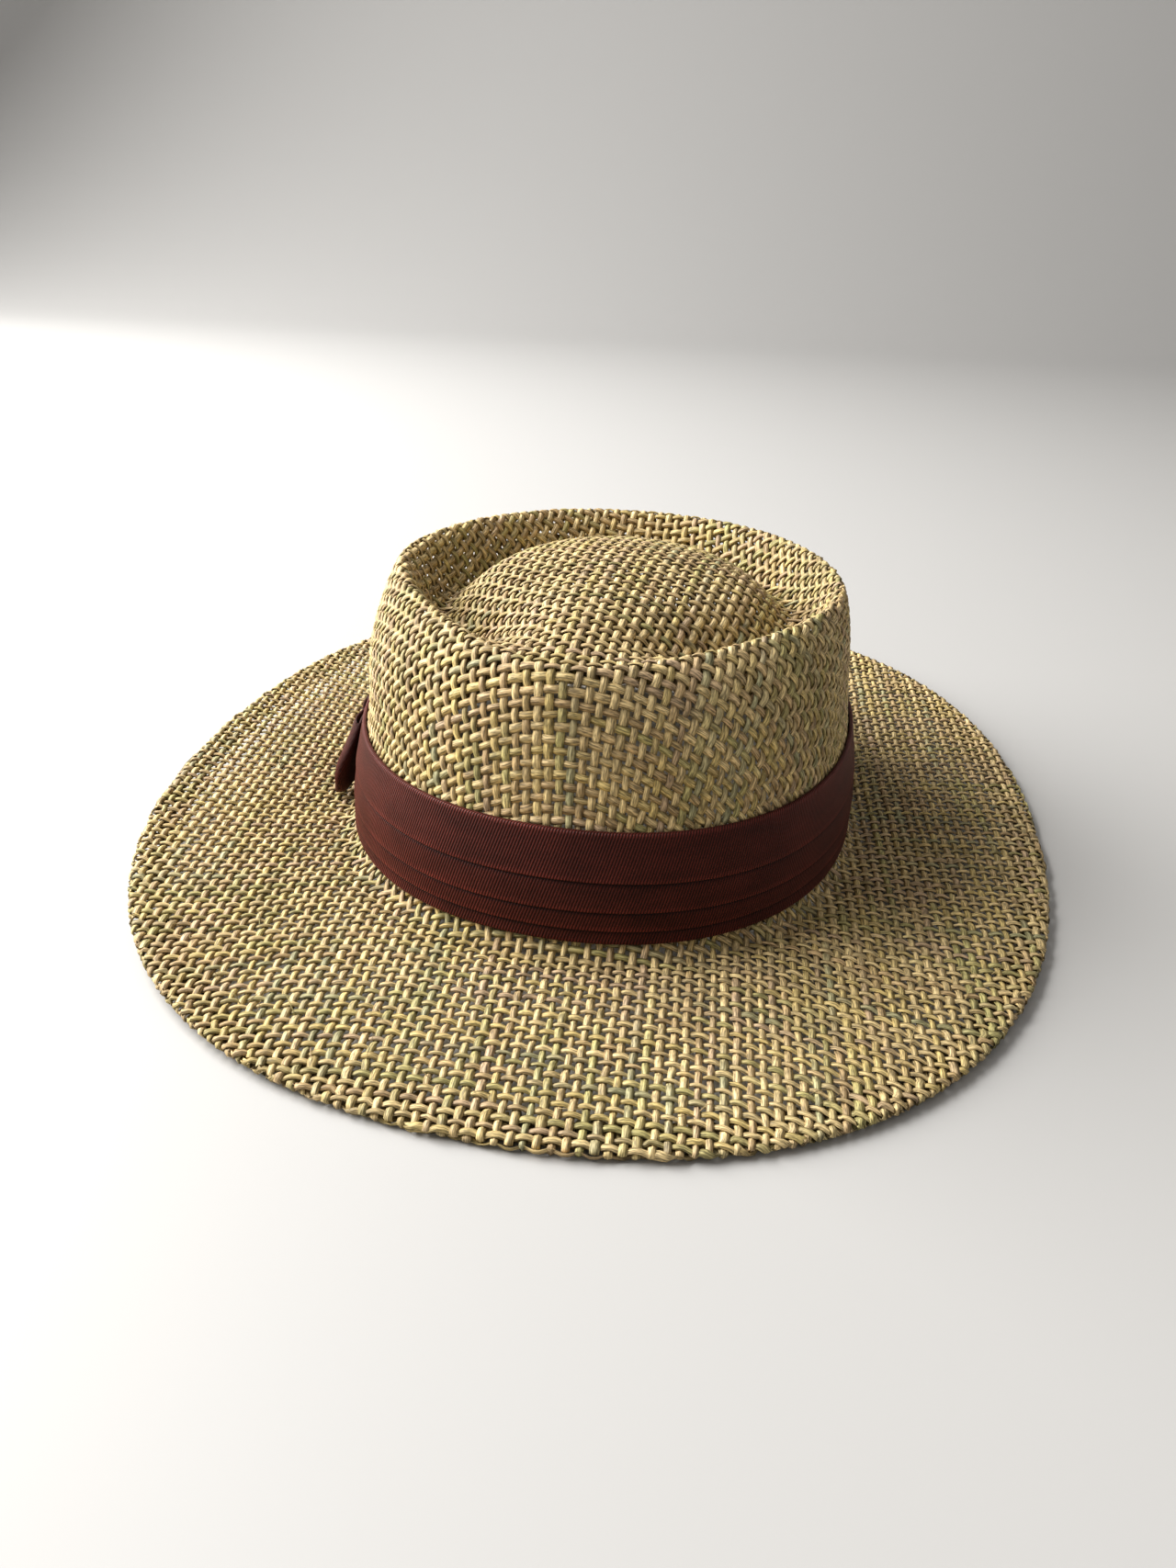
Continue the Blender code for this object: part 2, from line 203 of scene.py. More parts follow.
def sections(cos, sin):
    """Rows of (name, reach, height) from the dome's top out to the brim's edge."""
    head = np.array([HEAD_HALF_LENGTH, HEAD_HALF_LENGTH, HEAD_HALF_WIDTH, HEAD_HALF_WIDTH])
    crest = head * side_values(RIM_REACH)
    brim = side_values(BRIM_REACH, BRIM_WIDTH)
    crest_height = WALL + blend_sides(cos, sin, side_values(RIM_HEIGHT, CROWN_HEIGHT))
    edge_height = WALL + blend_sides(cos, sin, side_values(EDGE_HEIGHT, EDGE_LIFT))
    dome_height = WALL + CROWN_HEIGHT + DOME_RISE
    depth = valley_depth(cos, sin)
    drop = crest_height - WALL
    soft = blend_sides(cos, sin, side_values(CREST_ROUNDING))
    level = np.ones_like(cos)

    def outline(reach, squareness):
        return plan_reach(cos, sin, reach, squareness)

    def dome_row(name, share):
        """The dome falls from its top to the groove as a power of the distance from the middle."""
        fall = share**DOME_FALL
        reach = outline(crest * VALLEY_REACH * share, mix(DOME_SQUARENESS, RIM_SQUARENESS, share))
        return name, reach, dome_height * (1 - fall) + (crest_height - depth) * fall

    def brim_row(name, share):
        """The brim lifts slowly beside the crown and faster towards its edge."""
        reach = outline(head + brim * share, mix(HEAD_SQUARENESS, BRIM_SQUARENESS, share))
        return name, reach, WALL + (edge_height - WALL) * share**BRIM_CURVE

    crest_reach = outline(crest, RIM_SQUARENESS)
    shoulder_reach = outline(crest + (head - crest) * SHOULDER[0], mix(RIM_SQUARENESS, HEAD_SQUARENESS, 0.5))
    shoulder_reach = crest_reach + (shoulder_reach - crest_reach) * soft
    middle_reach = outline(crest + (head - crest) * WALL_MIDDLE[0], HEAD_SQUARENESS)
    bend_reach = outline(head + BEND[0] * BEND_RADIUS, HEAD_SQUARENESS)
    rows = [("dome_top", 0 * level, dome_height * level)]
    rows += [dome_row(*row) for row in DOME_ROWS]
    rows += [
        ("rim_inner", crest_reach * (1 - RIM_INNER[0] * soft), crest_height - RIM_INNER[1] * depth * soft),
        ("rim_crest", crest_reach, crest_height),
        ("shoulder", shoulder_reach, crest_height - SHOULDER[1] * drop * soft),
        ("wall_middle", middle_reach, crest_height - WALL_MIDDLE[1] * drop),
        ("wall_low", outline(head, HEAD_SQUARENESS), (WALL + 2 * BEND_RADIUS) * level),
        ("bend", bend_reach, (WALL + BEND[1] * BEND_RADIUS) * level),
        ("foot_start", outline(head + BEND_RADIUS, HEAD_SQUARENESS), WALL * level),
        ("foot_end", outline(head + BEND_RADIUS + FOOT_WIDTH, HEAD_SQUARENESS), WALL * level),
    ]
    return rows + [brim_row(*row) for row in BRIM_ROWS]


def smooth_through(knots, values, at, start_slope):
    """Cubic spline through values (rows of columns), with a given slope at the start and free at the end."""
    count = len(knots)
    gap = np.diff(knots)
    rise = np.diff(values, axis=0) / gap[:, None]
    matrix = np.zeros((count, count))
    target = np.zeros_like(values)
    matrix[0, :2] = 2 * gap[0], gap[0]
    target[0] = 6 * (rise[0] - start_slope)
    for i in range(1, count - 1):
        matrix[i, i - 1 : i + 2] = gap[i - 1], 2 * (gap[i - 1] + gap[i]), gap[i]
        target[i] = 6 * (rise[i] - rise[i - 1])
    matrix[-1, -1] = 1
    bend = np.linalg.solve(matrix, target)
    k = np.clip(np.searchsorted(knots, at, side="right") - 1, 0, count - 2)
    step = (at - knots[k])[:, None]
    slope = rise[k] - gap[k][:, None] * (2 * bend[k] + bend[k + 1]) / 6
    turn = (bend[k + 1] - bend[k]) / (6 * gap[k][:, None])
    return values[k] + step * slope + step**2 * bend[k] / 2 + step**3 * turn


class StrawSurface:
    """Upper face of the straw, looked up from a fine table. Past the brim's edge it runs on straight.

    A spot (a, b) is as far from (0, 0) as its place along the profile, in the direction of its azimuth.
    """

    TURNS = 720
    STEP = 0.25
    BEYOND = 70.0
    SLOPE_ROWS = 8
    WALL_PLACES = 220
    PLACE_ROUNDS = 12

    def __init__(self):
        azimuths = np.arange(self.TURNS) * 2 * math.pi / self.TURNS
        rows = sections(np.cos(azimuths), np.sin(azimuths))
        self.names = [row[0] for row in rows]
        reaches = np.stack([row[1] for row in rows])
        heights = np.stack([row[2] for row in rows])
        mean = np.stack([reaches.mean(axis=1), heights.mean(axis=1)])
        self.knots = np.concatenate([[0], np.cumsum(np.hypot(*np.diff(mean, axis=1)))])
        self.edge = self.knots[-1]
        places = np.arange(0, self.edge + self.BEYOND, self.STEP)
        on_hat = np.minimum(places, self.edge)
        first_slope = (reaches[1] - reaches[0]) / (self.knots[1] - self.knots[0])
        self.reach = smooth_through(self.knots, reaches, on_hat, first_slope)
        self.height = smooth_through(self.knots, heights, on_hat, 0 * first_slope)
        last = int(self.edge / self.STEP)
        past = np.maximum(places - self.edge, 0)[:, None]
        run = self.SLOPE_ROWS * self.STEP
        self.reach += past * (self.reach[last] - self.reach[last - self.SLOPE_ROWS]) / run
        self.height += past * (self.height[last] - self.height[last - self.SLOPE_ROWS]) / run

    def place_of(self, name):
        return self.knots[self.names.index(name)]

    def look_up(self, place, azimuth):
        row = np.clip(place / self.STEP, 0, len(self.reach) - 1.001)
        turn = np.mod(azimuth / (2 * math.pi), 1.0) * self.TURNS
        i, j = row.astype(int), turn.astype(int)
        u, v = row - i, turn - j
        j = j % self.TURNS
        k = (j + 1) % self.TURNS
        found = []
        for table in (self.reach, self.height):
            low = table[i, j] * (1 - v) + table[i, k] * v
            high = table[i + 1, j] * (1 - v) + table[i + 1, k] * v
            found.append(low * (1 - u) + high * u)
        return found

    def point(self, place, azimuth):
        reach, height = self.look_up(place, azimuth)
        return polar(reach, azimuth, height)

    def at_spot(self, spot):
        return self.point(np.hypot(spot[..., 0], spot[..., 1]), np.arctan2(spot[..., 1], spot[..., 0]))

    def slopes(self, spot, step=0.4):
        """How the point moves with each of the spot's two numbers."""
        found = []
        for shift in ((step, 0.0), (0.0, step)):
            found.append((self.at_spot(spot + shift) - self.at_spot(spot - np.array(shift))) / (2 * step))
        return found

    def place_at_height(self, height):
        """Mean place on the crown wall at a height."""
        places = np.linspace(self.place_of("shoulder"), self.place_of("foot_start"), self.WALL_PLACES)
        rows = (places / self.STEP).astype(int)
        return np.interp(height, self.height[rows].mean(axis=1)[::-1], places[::-1])

    def place_at(self, reach, azimuth):
        """Place on the brim at a distance from the middle. Nearer than the foot it goes up the wall."""
        foot = self.place_of("foot_start")
        foot_reach, _ = self.look_up(np.full_like(reach, foot), azimuth)
        place = foot + reach - foot_reach
        for _ in range(self.PLACE_ROUNDS):
            found, _ = self.look_up(np.maximum(place, foot), azimuth)
            place = np.where(reach > foot_reach, place + reach - found, foot + reach - foot_reach)
        return place

    def wall_reach(self, height, azimuths):
        """Reach of the crown wall's outer face at a height."""
        places = np.linspace(self.place_of("shoulder"), self.place_of("foot_start"), self.WALL_PLACES)
        grid_place, grid_azimuth = np.meshgrid(places, azimuths, indexing="ij")
        reach, heights = self.look_up(grid_place, grid_azimuth)
        return np.array([np.interp(height, h[::-1], r[::-1]) for r, h in zip(reach.T, heights.T)])


def polar(reach, azimuth, height):
    return np.stack([reach * np.cos(azimuth), reach * np.sin(azimuth), height], axis=-1)


def unit(vectors):
    return vectors / np.maximum(np.linalg.norm(vectors, axis=-1, keepdims=True), 1e-9)


# Weave: a square net laid over the surface, which keeps its pitch and shears where the hat is blocked

# Crossings and their neighbours, along the strands and across the cells
ALL, LOW, HIGH = slice(None), slice(None, -1), slice(1, None)
STRAIGHT = (((LOW, ALL), (HIGH, ALL)), ((ALL, LOW), (ALL, HIGH)))
SLANTED = (((LOW, LOW), (HIGH, HIGH)), ((HIGH, LOW), (LOW, HIGH)))


def pull_between(start, end, length, stiffness, live):
    """Spring pull on start towards end."""
    run = end - start
    now = np.linalg.norm(run, axis=-1)
    strain = (now - length) * stiffness
    return run * (strain / np.maximum(now, 1e-6) * live)[..., None]


def net_pulls(points, inside, pitch):
    """Pull on every crossing: stiff along the strands, weak across the cells until the strands jam."""
    total = np.zeros_like(points)
    for first, second in STRAIGHT + SLANTED:
        start, end = points[first], points[second]
        length, stiffness = pitch, 1.0
        if (first, second) in SLANTED:
            length = pitch * math.sqrt(2)
            now = np.linalg.norm(end - start, axis=-1)
            jammed = np.clip((JAM_SHARE - now / length) / JAM_RANGE, 0, 1)
            stiffness = SHEAR_STIFFNESS + JAM_STIFFNESS * jammed
        pull = pull_between(start, end, length, stiffness, inside[first] & inside[second])
        total[first] += pull
        total[second] -= pull
    return total


def settle(surface, spots, inside, pitch, rounds):
    """Moves the crossings along the surface until the pulls balance."""
    drift = np.zeros_like(spots)
    for _ in range(rounds):
        pulls = net_pulls(surface.at_spot(spots), inside, pitch)
        along_a, along_b = surface.slopes(spots)
        aa = (along_a**2).sum(-1) + NET_DAMPING
        bb = (along_b**2).sum(-1) + NET_DAMPING
        ab = (along_a * along_b).sum(-1)
        pa = (pulls * along_a).sum(-1)
        pb = (pulls * along_b).sum(-1)
        det = aa * bb - ab**2
        step = np.stack([(bb * pa - ab * pb) / det, (aa * pb - ab * pa) / det], axis=-1)
        drift = NET_MOMENTUM * drift + NET_GAIN * step * inside[..., None]
        size = np.linalg.norm(drift, axis=-1, keepdims=True)
        drift *= np.minimum(1, NET_STEP_LIMIT * pitch / np.maximum(size, 1e-9))
        spots = spots + drift
    return spots


def rotate(spots, angle):
    cos, sin = math.cos(angle), math.sin(angle)
    return spots @ np.array([[cos, sin], [-sin, cos]])


def halve(spots):
    """A net with half the pitch, its new crossings midway between the old."""
    rows = np.empty((spots.shape[0] * 2 - 1, *spots.shape[1:]))
    rows[::2] = spots
    rows[1::2] = (spots[1:] + spots[:-1]) / 2
    both = np.empty((rows.shape[0], rows.shape[1] * 2 - 1, 2))
    both[:, ::2] = rows
    both[:, 1::2] = (rows[:, 1:] + rows[:, :-1]) / 2
    return both


def lay_crown_net(surface):
    """Spots of the crown's crossings by lengthwise and crosswise strand, and which are on the sheet."""
    flat_radius = surface.place_of("foot_start") + NET_MARGIN
    coarse = NET_COARSEST
    half = int(math.ceil(flat_radius / (PITCH * coarse)))
    index = np.arange(-half, half + 1) * PITCH * coarse
    spots = rotate(np.stack(np.meshgrid(index, index, indexing="ij"), axis=-1), CROWN_TURN)
    while True:
        pitch = PITCH * coarse
        index = np.arange(-(spots.shape[0] // 2), spots.shape[0] // 2 + 1) * pitch
        flat = np.hypot(*np.meshgrid(index, index, indexing="ij"))
        inside = flat <= flat_radius
        spots = settle(surface, spots, inside, pitch, NET_ROUNDS[coarse])
        if coarse == 1:
            return spots, inside
        spots = halve(spots)
        coarse //= 2


def strand_lines(half_width):
    """Distances of the brim's lengthwise strands from the middle one: closer together towards the sides."""
    lines = [0.0]
    for side in (-1, 1):
        side_pitch = SIDE_PITCH["right" if side > 0 else "left"]
        place = 0.0
        while abs(place) < half_width:
            share = min(1.0, abs(place) / half_width)
            place += side * (PITCH + (side_pitch - PITCH) * share)
            lines.append(place)
    return np.array(sorted(lines))


def sag(across, along):
    """How far the brim's crosswise strands are drawn towards the crown, from in front and from behind."""
    turnover = np.tanh((along + SAG_SLANT * across) / SAG_TURNOVER)
    return -SAG_DEPTH * np.exp(-(((across - SAG_MIDDLE) / SAG_SPREAD) ** 4)) * turnover


def lay_brim_net(surface):
    """Spots of the brim's crossings by lengthwise and crosswise strand, and which are on the sheet."""
    across = strand_lines(BRIM_NET_HALF_WIDTH)
    half = int((BRIM_NET_HALF_WIDTH + SAG_DEPTH) / PITCH)
    target = np.arange(-half, half + 1) * PITCH
    across, target = np.meshgrid(across, target, indexing="ij")
    along = target.copy()
    for _ in range(SAG_ROUNDS):
        along += SAG_GAIN * (target + sag(across, along) - along)
    plan = rotate(np.stack([across, along], axis=-1), BRIM_TURN)
    reach = np.hypot(plan[..., 0], plan[..., 1])
    azimuth = np.arctan2(plan[..., 1], plan[..., 0])
    place = surface.place_at(reach, azimuth)
    spots = np.stack([place * np.cos(azimuth), place * np.sin(azimuth)], axis=-1)
    return spots, place > 0


def wander(rng, count, spacing, size):
    """Slow random wave: count values, with a turning point every spacing values."""
    knots = max(4, int(count / spacing) + 4)
    values = rng.normal(0, size, knots)
    at = np.linspace(0, knots - 1.001, count)
    i = at.astype(int)
    share = at - i
    share = share * share * (3 - 2 * share)
    return values[i] * (1 - share) + values[i + 1] * share


# Strand colours with how common each is, in linear light
STRAND_COLOURS = (
    ("pale straw", (0.74, 0.575, 0.305), 0.38),
    ("yellow straw", (0.65, 0.505, 0.22), 0.20),
    ("tan", (0.58, 0.42, 0.225), 0.18),
    ("pinkish tan", (0.60, 0.44, 0.28), 0.08),
    ("olive", (0.50, 0.44, 0.195), 0.11),
    ("grey green", (0.44, 0.415, 0.24), 0.05),
)


# Rings that one stretch of grass may run for, and how far each stretch strays from its colour
STRETCH_RINGS = (9, 48)
STRETCH_MARGIN = 80
TINT_SPREAD = (0.84, 1.16)


def strand_tints(rng, length):
    """Colour of each ring of a strand: a stretch of grass has its own, and they blend into the next."""
    palette = np.array([row[1] for row in STRAND_COLOURS])
    chances = np.array([row[2] for row in STRAND_COLOURS])
    marks = [0.0]
    while marks[-1] < length + STRETCH_MARGIN:
        marks.append(marks[-1] + rng.uniform(*STRETCH_RINGS))
    marks = np.array(marks)
    picks = palette[rng.choice(len(palette), len(marks), p=chances / chances.sum())]
    picks = picks * rng.uniform(*TINT_SPREAD, (len(marks), 1))
    at = np.arange(length)
    return np.stack([np.interp(at, marks, picks[:, c]) for c in range(3)], axis=-1)


def catmull(values, at):
    """Smooth curve through rows of values, read at fractional rows."""
    i = np.clip(at.astype(int), 0, len(values) - 2)
    t = (at - i)[:, None]
    before = values[np.maximum(i - 1, 0)]
    start = values[i]
    end = values[i + 1]
    after = values[np.minimum(i + 2, len(values) - 1)]
    cubic = 3 * (start - end) + after - before
    square = 2 * before - 5 * start + 4 * end - after
    return start + 0.5 * t * (end - before + t * (square + t * cubic))


def add_object(name, data):
    made = bpy.data.objects.new(name, data)
    bpy.context.scene.collection.objects.link(made)
    return made


# How far apart the seeds put the strands in their fibre pattern
SEED_SPREAD = 7.0


class StrandMesh:
    """Collects strands and turns them into one mesh object."""

    def __init__(self, name):
        self.name = name
        self.points = []
        self.quads = []
        self.tints = []
        self.marks = []
        self.count = 0

    def add(self, rings, tints, along, seed):
        """rings is (rings, sides, 3); along is the distance along the strand of each ring."""
        length, sides = rings.shape[:2]
        index = self.count + np.arange(length * sides).reshape(length, sides)
        turned = np.roll(index, -1, axis=1)
        quads = np.stack([index[:-1], turned[:-1], turned[1:], index[1:]], axis=-1).reshape(-1, 4)
        self.quads.append(quads)
        self.points.append(rings.reshape(-1, 3))
        self.tints.append(np.repeat(tints, sides, axis=0))
        across = np.tile(np.arange(sides) / sides, length)
        seeds = np.full(length * sides, seed)
        self.marks.append(np.stack([np.repeat(along, sides), across, seeds], axis=-1))
        self.count += length * sides
        for ring in (index[0][::-1], index[-1]):
            self.quads.append(ring[:4][None])

    def build(self, material):
        points = np.concatenate(self.points) * MM + CENTRE
        quads = np.concatenate(self.quads)
        mesh = bpy.data.meshes.new(self.name)
        mesh.vertices.add(len(points))
        mesh.vertices.foreach_set("co", points.astype(np.float32).ravel())
        mesh.loops.add(quads.size)
        mesh.loops.foreach_set("vertex_index", quads.astype(np.int32).ravel())
        mesh.polygons.add(len(quads))
        mesh.polygons.foreach_set("loop_start", np.arange(0, quads.size, 4, dtype=np.int32))
        mesh.update(calc_edges=True)
        mesh.polygons.foreach_set("use_smooth", np.ones(len(quads), bool))
        tints = np.concatenate(self.tints)
        colour = mesh.color_attributes.new("tint", "FLOAT_COLOR", "POINT")
        opaque = np.hstack([tints, np.ones((len(tints), 1))])
        colour.data.foreach_set("color", opaque.astype(np.float32).ravel())
        marks = np.concatenate(self.marks)[quads.ravel()]
        layer = mesh.uv_layers.new(name="strand")
        spread = marks[:, :2] + marks[:, 2:] * [0.0, SEED_SPREAD]
        layer.data.foreach_set("uv", spread.astype(np.float32).ravel())
        mesh.materials.append(material)
        mesh.update()
        result = add_object(self.name, mesh)
        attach(result, "root")
        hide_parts("straw_body")


def sheet_frame(surface, spots, lap_place):
    """Middle of the layer and its facing, round the folded edge too, and a layer deeper past lap_place."""
    place = np.hypot(spots[:, 0], spots[:, 1])
    azimuth = np.arctan2(spots[:, 1], spots[:, 0])
    past = place - surface.edge
    fold_radius = LAYER / 2
    angle = np.clip(past / fold_radius, 0, math.pi)
    folded = np.where(past < 0, place, surface.edge - np.maximum(0, past - math.pi * fold_radius))
    point = surface.point(folded, azimuth)
    step = 0.5
    outward = unit(surface.point(folded, azimuth) - surface.point(folded - step, azimuth))
    turn = step / np.maximum(folded, 1.0)
    around = unit(surface.point(folded, azimuth + turn) - surface.point(folded, azimuth - turn))
    normal = unit(np.cross(outward, around))
    lap = np.clip((place - lap_place) / COLLAR_RUN_IN, 0, 1)
    depth = -LAYER * (1 + lap * lap * (3 - 2 * lap)) + fold_radius * np.cos(angle)
    out = np.where(past > -3, fold_radius * (np.sin(angle) - 1), 0)
    middle = point + normal * depth[:, None] + outward * out[:, None]
    facing = normal * np.cos(angle)[:, None] + outward * np.sin(angle)[:, None]
    return middle, facing, place


def runs(keep):
    """Start and end of each stretch of true values."""
    edges = np.flatnonzero(np.diff(np.concatenate([[0], keep.astype(int), [0]])))
    return list(zip(edges[::2], edges[1::2]))


RING_PLACES = (-0.22, 0.22, 0.5)
SECTION = ((-0.5, 0.0), (0.0, 0.5), (0.5, 0.0), (0.0, -0.5))
SHORTEST_RINGS = 6
WIDTH_SPREAD = (0.84, 1.14)
ROOM_SHARE = 0.94
SQUEEZE_POWER = 0.35
SQUEEZE_LIMIT = 1.2
WIDTH_WANDER = (9, 0.09)
THICKNESS_WANDER = (9, 0.06)
SIDE_WANDER = (7, 0.16)
TIP_SHARE = 0.35
TIP_RINGS = 2
START_SCATTER = 0.5
END_SCATTER = 0.8


def make_strand(surface, spots, room, first_over, rng, sheet, target):
    """One strand through a row of crossings, as far as the sheet goes. room is its free width at each."""
    count = len(spots)
    at = (np.arange(count)[:, None] + np.array(RING_PLACES)).ravel()[1:-1]
    over = np.where(np.floor(at + 0.25) % 2 == first_over, 1.0, -1.0)
    lift = np.tile([1.0, 1.0, 0.0], count)[1:-1] * over
    middle, facing, place = sheet_frame(surface, catmull(spots, at), sheet["lap"])
    start = sheet["from"] + rng.uniform(-START_SCATTER, START_SCATTER)
    end = sheet["to"] + rng.uniform(-END_SCATTER, END_SCATTER)
    ideal = STRAND_WIDTH[sheet["family"]] * sheet["fullness"] * rng.uniform(*WIDTH_SPREAD)
    for first, last in runs((place > start) & (place < end)):
        length = last - first
        if length < SHORTEST_RINGS:
            continue
        part = slice(first, last)
        wide = ideal * (1 + wander(rng, length, *WIDTH_WANDER))
        width = np.minimum(wide, np.interp(at[part], np.arange(count), room) * ROOM_SHARE)
        squeeze = np.clip((wide / width) ** SQUEEZE_POWER, 1, SQUEEZE_LIMIT)
        thickness = STRAND_THICKNESS * squeeze * (1 + wander(rng, length, *THICKNESS_WANDER))
        line = middle[part] + facing[part] * (lift[part] * CRIMP)[:, None]
        tangent = unit(np.gradient(line, axis=0))
        across = unit(np.cross(facing[part], tangent))
        line = line + across * wander(rng, length, *SIDE_WANDER)[:, None]
        up = np.cross(tangent, across)
        from_end = np.minimum(np.arange(length), np.arange(length)[::-1])
        taper = np.minimum(1, TIP_SHARE + (1 - TIP_SHARE) * from_end / TIP_RINGS)
        section = np.array(SECTION)
        rings = (
            line[:, None]
            + across[:, None] * (section[:, 0] * (width * taper)[:, None])[..., None]
            + up[:, None] * (section[:, 1] * (thickness * taper)[:, None])[..., None]
        )
        steps = np.linalg.norm(np.diff(line, axis=0), axis=1)
        along = np.concatenate([[0], np.cumsum(steps)]) + rng.uniform(0, 500)
        tints = strand_tints(rng, length)
        tints = tints * np.where(place[part] > surface.edge + LAYER, HEM_SHADE, 1.0)[:, None]
        target.add(rings, tints, along, rng.uniform(0, 1))


def spacing_across(points, axis):
    """Room for a strand between its neighbours, square to it, at every crossing."""
    along = np.gradient(points, axis=1 - axis)
    across = np.gradient(points, axis=axis)
    area = np.linalg.norm(np.cross(along, across), axis=-1)
    return area / np.maximum(np.linalg.norm(along, axis=-1), 1e-6)


PARTS = ("one", "two")
FEWEST_CROSSINGS = 8


def weave_sheet(surface, name, spots, inside, sheet, material):
    """All strands of one sheet, in two pieces for each direction."""
    points = surface.at_spot(spots)
    rng = np.random.default_rng(11)
    for axis, family in ((0, "lengthwise"), (1, "crosswise")):
        room = spacing_across(points, axis)
        groups = [StrandMesh(f"straw_{name}_{family}_{part}") for part in PARTS]
        live_counts = inside.sum(axis=1 - axis)
        shares = np.cumsum(live_counts) / live_counts.sum()
        for k in range(spots.shape[axis]):
            row = (k, ALL) if axis == 0 else (ALL, k)
            live = np.flatnonzero(inside[row])
            if len(live) < FEWEST_CROSSINGS:
                continue
            first_over = (k + live[0] + axis) % 2
            group = groups[min(len(PARTS) - 1, int(shares[k] * len(PARTS) - 1e-6))]
            kind = dict(sheet, family=family)
            make_strand(surface, spots[row][live], room[row][live], first_over, rng, kind, group)
        for group in groups:
            group.build(material)


def weave(surface, material):
    """The crown's sheet, lapped under the collar, and the brim's, which is folded under at the edge."""
    no_lap = surface.knots[-1] + 500
    collar = float(surface.place_at_height(COLLAR_TOP))
    crown_end = float(surface.place_at_height(CROWN_END + WALL))
    crown = {"from": -1.0, "to": crown_end, "lap": collar - COLLAR_RUN_IN, "fullness": CROWN_FULLNESS}
    spots, inside = lay_crown_net(surface)
    weave_sheet(surface, "crown", spots, inside, crown, material)
    brim = {"from": collar, "to": surface.edge + HEM_WIDTH, "lap": no_lap, "fullness": 1.0}
    spots, inside = lay_brim_net(surface)
    weave_sheet(surface, "brim", spots, inside, brim, material)


FIBRE_COUNT = 90
FIBRE_RADIUS = 0.14
FIBRE_POINTS = 7
FIBRE_LENGTH = (3, 9)
FIBRE_RISE = (0.6, 2.2)
FIBRE_ROOT = 0.6
FIBRE_REACH = 130
FIBRE_CURL = 0.5
FIBRE_ARCH = (1.4, 2.6)
FIBRE_GIRTH = (0.7, 1.4)
FIBRE_TAPER = 0.6
HEM_FIBRE_SCATTER = 1.2
BRIM_FIBRE_EVERY = 5
BRIM_FIBRE_FROM_EDGE = (16, 50)


def loose_fibres(surface, material):
    """Ends of grass that stick up along the inner line of the folded edge, and a few over the brim."""
    rng = np.random.default_rng(23)
    target = StrandMesh("straw_loose_fibres")
    share = np.linspace(0, 1, FIBRE_POINTS)
    for k in range(FIBRE_COUNT):
        azimuth = rng.uniform(0, 2 * math.pi)
        if k % BRIM_FIBRE_EVERY:
            from_edge = HEM_WIDTH + rng.normal(0, HEM_FIBRE_SCATTER)
        else:
            from_edge = rng.uniform(*BRIM_FIBRE_FROM_EDGE)
        place = surface.edge - from_edge
        length = rng.uniform(*FIBRE_LENGTH)
        heading = rng.uniform(0, 2 * math.pi)
        rise = rng.uniform(*FIBRE_RISE)
        curl = rng.normal(0, FIBRE_CURL)
        angle = heading + curl * share
        run = np.stack([np.cos(angle), np.sin(angle)], axis=-1) * (length / FIBRE_POINTS)
        moved = np.cumsum(run, axis=0)
        points = surface.point(place + moved[:, 0], azimuth + moved[:, 1] / FIBRE_REACH)
        points[:, 2] += -FIBRE_ROOT + (rise + FIBRE_ROOT) * np.sin(share * rng.uniform(*FIBRE_ARCH))
        tangent = unit(np.gradient(points, axis=0))
        across = unit(np.cross(tangent, np.array([0.0, 0.0, 1.0])))
        up = np.cross(across, tangent)
        thin = FIBRE_RADIUS * rng.uniform(*FIBRE_GIRTH) * (1 - FIBRE_TAPER * share)
        wide, tall = across * thin[:, None], up * thin[:, None]
        rings = np.stack([points + wide, points + tall, points - wide, points - tall], axis=1)
        target.add(rings, strand_tints(rng, FIBRE_POINTS), share * length, rng.uniform(0, 1))
    target.build(material)


# Materials

def new_material(name):
    material = bpy.data.materials.new(name)
    material.use_nodes = True
    tree = material.node_tree
    return material, tree.nodes, tree.links, tree.nodes["Principled BSDF"]


def node(nodes, kind, **values):
    made = nodes.new(kind)
    for name, value in values.items():
        if name in made.inputs:
            made.inputs[name].default_value = value
        else:
            setattr(made, name, value)
    return made


def stretched_noise(nodes, links, uv_name, stretch, scale, detail, roughness=0.6):
    """Noise stretched along a UV map's first direction."""
    uv = node(nodes, "ShaderNodeUVMap", uv_map=uv_name)
    mapping = node(nodes, "ShaderNodeMapping", Scale=stretch)
    noise = node(nodes, "ShaderNodeTexNoise", Scale=scale, Detail=detail, Roughness=roughness)
    links.new(uv.outputs["UV"], mapping.inputs["Vector"])
    links.new(mapping.outputs["Vector"], noise.inputs["Vector"])
    return noise


def map_range(nodes, links, value, source, result):
    ramp = node(nodes, "ShaderNodeMapRange")
    set_inputs(ramp, dict(zip(("From Min", "From Max", "To Min", "To Max"), source + result)))
    links.new(value, ramp.inputs["Value"])
    return ramp.outputs["Result"]


def multiply(nodes, links, first, second):
    both = node(nodes, "ShaderNodeMath", operation="MULTIPLY")
    links.new(first, both.inputs[0])
    links.new(second, both.inputs[1])
    return both.outputs["Value"]


def shaded_colour(nodes, links, shader, shade):
    """Gives the shader a colour times a shade, and returns the socket that the colour goes in."""
    mixer = node(nodes, "ShaderNodeVectorMath", operation="SCALE")
    links.new(shade, mixer.inputs["Scale"])
    links.new(mixer.outputs["Vector"], shader.inputs["Base Color"])
    return mixer.inputs[0]


def add_bump(nodes, links, shader, height, strength, distance):
    bump = node(nodes, "ShaderNodeBump", Strength=strength, Distance=distance)
    links.new(height, bump.inputs["Height"])
    links.new(bump.outputs["Normal"], shader.inputs["Normal"])


